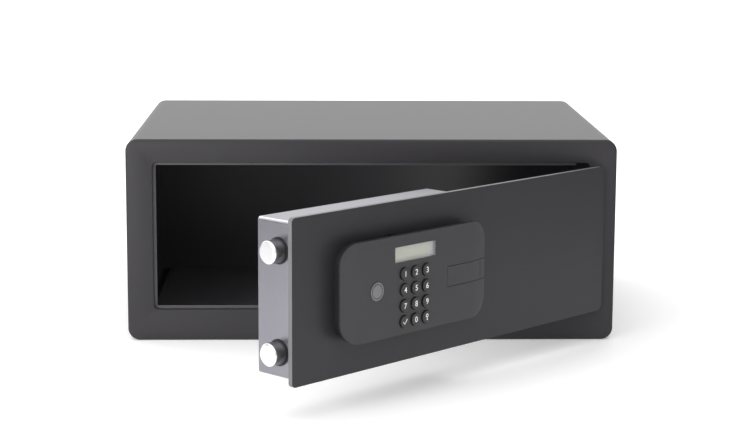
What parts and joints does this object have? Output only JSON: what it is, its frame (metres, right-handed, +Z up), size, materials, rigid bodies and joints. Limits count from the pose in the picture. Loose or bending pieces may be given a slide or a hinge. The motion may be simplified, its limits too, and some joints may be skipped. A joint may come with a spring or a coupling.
{
  "type": "in-room safe",
  "caption": "Laptop-size hotel room safe: steel case, side-hinged door standing half open, keypad module with display, round locking bolts, and a flap over an emergency key lock.",
  "frame": {"origin": "centre of the underside of the case", "axes": "+Z up, +Y towards the back panel, +X to the right seen from the front, where the hinge is"},
  "size_m": [0.48, 0.6572, 0.2],
  "materials": {
    "powder_coat": "fine-textured matt dark grey powder coat",
    "lock_steel": "satin zinc-plated steel sheet",
    "zinc": "bright zinc plating",
    "bolt_chrome": "turned and polished",
    "carpet": "short needle-felt pile",
    "black_nylon": "matt",
    "bronze": "sintered, satin",
    "acetal": "satin",
    "grey_plastic": "fine spark-eroded texture",
    "key_plastic": "satin with white printed signs",
    "gasket_rubber": "matt",
    "circuit_board": "solder-masked glass fibre",
    "chip_plastic": "moulded",
    "cell_wrap": "plain printed sleeve",
    "display_grey": "unlit liquid crystal panel",
    "display_clear": "clear pane",
    "badge_metal": "satin, plain concentric rings",
    "brass": "machined",
    "reset_red": "gloss",
    "ribbon": "ribbon cable sheath"
  },
  "bodies": {
    "case": {"case_shell": "powder_coat", "front_frame": "powder_coat", "door_stop": "powder_coat", "back_panel": "powder_coat", "floor_mat": "carpet", "hinge_bracket_lower": "powder_coat", "hinge_bracket_upper": "powder_coat", "hinge_rod": "zinc", "rod_clip": "zinc", "hinge_washers": "acetal"},
    "door": {"door_plate": "powder_coat", "hinge_arm_lower": "lock_steel", "hinge_arm_upper": "lock_steel", "hinge_bushes": "bronze", "arm_screws": "zinc", "lock_chassis": "lock_steel", "bolt_bushes": "black_nylon", "lock_cover": "lock_steel", "cover_posts": "zinc", "cover_screws": "zinc", "battery_holder": "black_nylon", "batteries": "cell_wrap", "control_board": "circuit_board", "board_components": "chip_plastic", "motor_bracket": "lock_steel", "lock_motor": "lock_steel", "keypad_cable": "ribbon", "keypad_gasket": "gasket_rubber", "keypad_base": "black_nylon", "keypad_housing": "black_nylon", "keypad_fascia": "grey_plastic", "keypad_board": "circuit_board", "key_mat": "gasket_rubber", "display_panel": "display_grey", "display_window": "display_clear", "badge_disc": "badge_metal", "module_screws": "zinc", "lock_barrel": "zinc"},
    "bolts": {"bolt_upper": "bolt_chrome", "bolt_lower": "bolt_chrome", "bolt_carriage": "zinc"},
    "pinion": {"drive_pinion": "brass"},
    "lock": {"lock_plug": "brass", "lock_cam": "lock_steel"},
    "flap": {"key_flap": "grey_plastic"},
    "battery_door": {"battery_cover": "black_nylon"},
    "reset": {"reset_button": "reset_red"},
    "key_1_cap": {"key_1": "key_plastic"},
    "key_2_cap": {"key_2": "key_plastic"},
    "key_3_cap": {"key_3": "key_plastic"},
    "key_4_cap": {"key_4": "key_plastic"},
    "key_5_cap": {"key_5": "key_plastic"},
    "key_6_cap": {"key_6": "key_plastic"},
    "key_7_cap": {"key_7": "key_plastic"},
    "key_8_cap": {"key_8": "key_plastic"},
    "key_9_cap": {"key_9": "key_plastic"},
    "key_enter_cap": {"key_enter": "key_plastic"},
    "key_0_cap": {"key_0": "key_plastic"},
    "key_lock_cap": {"key_lock": "key_plastic"}
  },
  "joints": [
    {"name": "door_hinge", "type": "hinge", "parent": "case", "child": "door", "pos_m": [0.2275, -0.1605, 0.1035], "axis": [0, 0, 1], "range_deg": [-45, 45]},
    {"name": "bolt_slide", "type": "slide", "parent": "door", "child": "bolts", "axis": [0.7071, 0.7071, 0], "range_m": [0, 0.0135]},
    {"name": "pinion_spin", "type": "hinge", "parent": "door", "child": "pinion", "pos_m": [-0.03342, -0.40233, 0.10175], "axis": [0, 0, 1], "range_deg": [0, 111]},
    {"name": "lock_turn", "type": "hinge", "parent": "door", "child": "lock", "pos_m": [0.06345, -0.34505, 0.1035], "axis": [-0.7071, 0.7071, 0], "range_deg": [0, 90]},
    {"name": "flap_hinge", "type": "hinge", "parent": "door", "child": "flap", "pos_m": [0.06161, -0.36797, 0.1035], "axis": [0, 0, -1], "range_deg": [0, 90]},
    {"name": "battery_cover_slide", "type": "slide", "parent": "door", "child": "battery_door", "axis": [0.7071, 0.7071, 0], "range_m": [0, 0.012]},
    {"name": "reset_press", "type": "slide", "parent": "door", "child": "reset", "axis": [0.7071, -0.7071, 0], "range_m": [0, 0.0015], "stiffness_N_per_m": 400, "springref_m": -0.0005},
    {"name": "key_1_press", "type": "slide", "parent": "door", "child": "key_1_cap", "axis": [-0.7071, 0.7071, 0], "range_m": [0, 0.0012], "stiffness_N_per_m": 400, "springref_m": -0.0005},
    {"name": "key_2_press", "type": "slide", "parent": "door", "child": "key_2_cap", "axis": [-0.7071, 0.7071, 0], "range_m": [0, 0.0012], "stiffness_N_per_m": 400, "springref_m": -0.0005},
    {"name": "key_3_press", "type": "slide", "parent": "door", "child": "key_3_cap", "axis": [-0.7071, 0.7071, 0], "range_m": [0, 0.0012], "stiffness_N_per_m": 400, "springref_m": -0.0005},
    {"name": "key_4_press", "type": "slide", "parent": "door", "child": "key_4_cap", "axis": [-0.7071, 0.7071, 0], "range_m": [0, 0.0012], "stiffness_N_per_m": 400, "springref_m": -0.0005},
    {"name": "key_5_press", "type": "slide", "parent": "door", "child": "key_5_cap", "axis": [-0.7071, 0.7071, 0], "range_m": [0, 0.0012], "stiffness_N_per_m": 400, "springref_m": -0.0005},
    {"name": "key_6_press", "type": "slide", "parent": "door", "child": "key_6_cap", "axis": [-0.7071, 0.7071, 0], "range_m": [0, 0.0012], "stiffness_N_per_m": 400, "springref_m": -0.0005},
    {"name": "key_7_press", "type": "slide", "parent": "door", "child": "key_7_cap", "axis": [-0.7071, 0.7071, 0], "range_m": [0, 0.0012], "stiffness_N_per_m": 400, "springref_m": -0.0005},
    {"name": "key_8_press", "type": "slide", "parent": "door", "child": "key_8_cap", "axis": [-0.7071, 0.7071, 0], "range_m": [0, 0.0012], "stiffness_N_per_m": 400, "springref_m": -0.0005},
    {"name": "key_9_press", "type": "slide", "parent": "door", "child": "key_9_cap", "axis": [-0.7071, 0.7071, 0], "range_m": [0, 0.0012], "stiffness_N_per_m": 400, "springref_m": -0.0005},
    {"name": "key_enter_press", "type": "slide", "parent": "door", "child": "key_enter_cap", "axis": [-0.7071, 0.7071, 0], "range_m": [0, 0.0012], "stiffness_N_per_m": 400, "springref_m": -0.0005},
    {"name": "key_0_press", "type": "slide", "parent": "door", "child": "key_0_cap", "axis": [-0.7071, 0.7071, 0], "range_m": [0, 0.0012], "stiffness_N_per_m": 400, "springref_m": -0.0005},
    {"name": "key_lock_press", "type": "slide", "parent": "door", "child": "key_lock_cap", "axis": [-0.7071, 0.7071, 0], "range_m": [0, 0.0012], "stiffness_N_per_m": 400, "springref_m": -0.0005}
  ],
  "couplings": [
    {"joint": "pinion_spin", "follows": "bolt_slide", "rad_per_m": 142.86}
  ]
}
